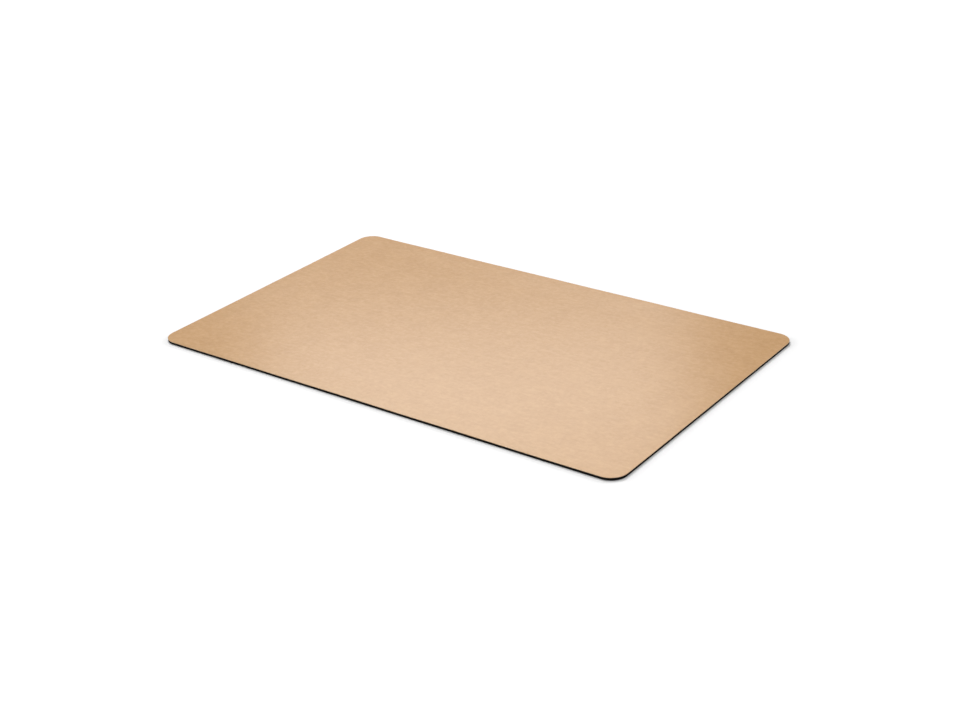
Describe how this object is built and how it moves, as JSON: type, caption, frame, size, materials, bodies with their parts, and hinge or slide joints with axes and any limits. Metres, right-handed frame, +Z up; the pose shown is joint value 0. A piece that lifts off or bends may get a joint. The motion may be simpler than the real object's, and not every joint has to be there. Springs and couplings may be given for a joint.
{
  "type": "desk mat",
  "caption": "Flat rectangular desk mat with rounded corners: a smooth kraft paper face on a thin black foam rubber base that grips the desk, for use under a keyboard and mouse.",
  "frame": {"origin": "middle of the underside, on the desk that the mat lies on", "axes": "+X along the long side to the user's right, +Y from the user's edge to the back edge, +Z up out of the paper face"},
  "size_m": [0.585, 0.36, 0.003],
  "materials": {
    "kraft_paper": "smooth unbleached kraft paper, tan, faintly clouded and fibrous, low satin sheen",
    "adhesive": "thin cured laminating adhesive, seen only as a line at the cut edge",
    "foam_rubber": "black fine-celled foam rubber, matt, with a shallow moulded grip pattern underneath"
  },
  "bodies": {
    "root": {"kraft_paper_face": "kraft_paper", "adhesive_film": "adhesive", "rubber_base": "foam_rubber"}
  },
  "joints": []
}
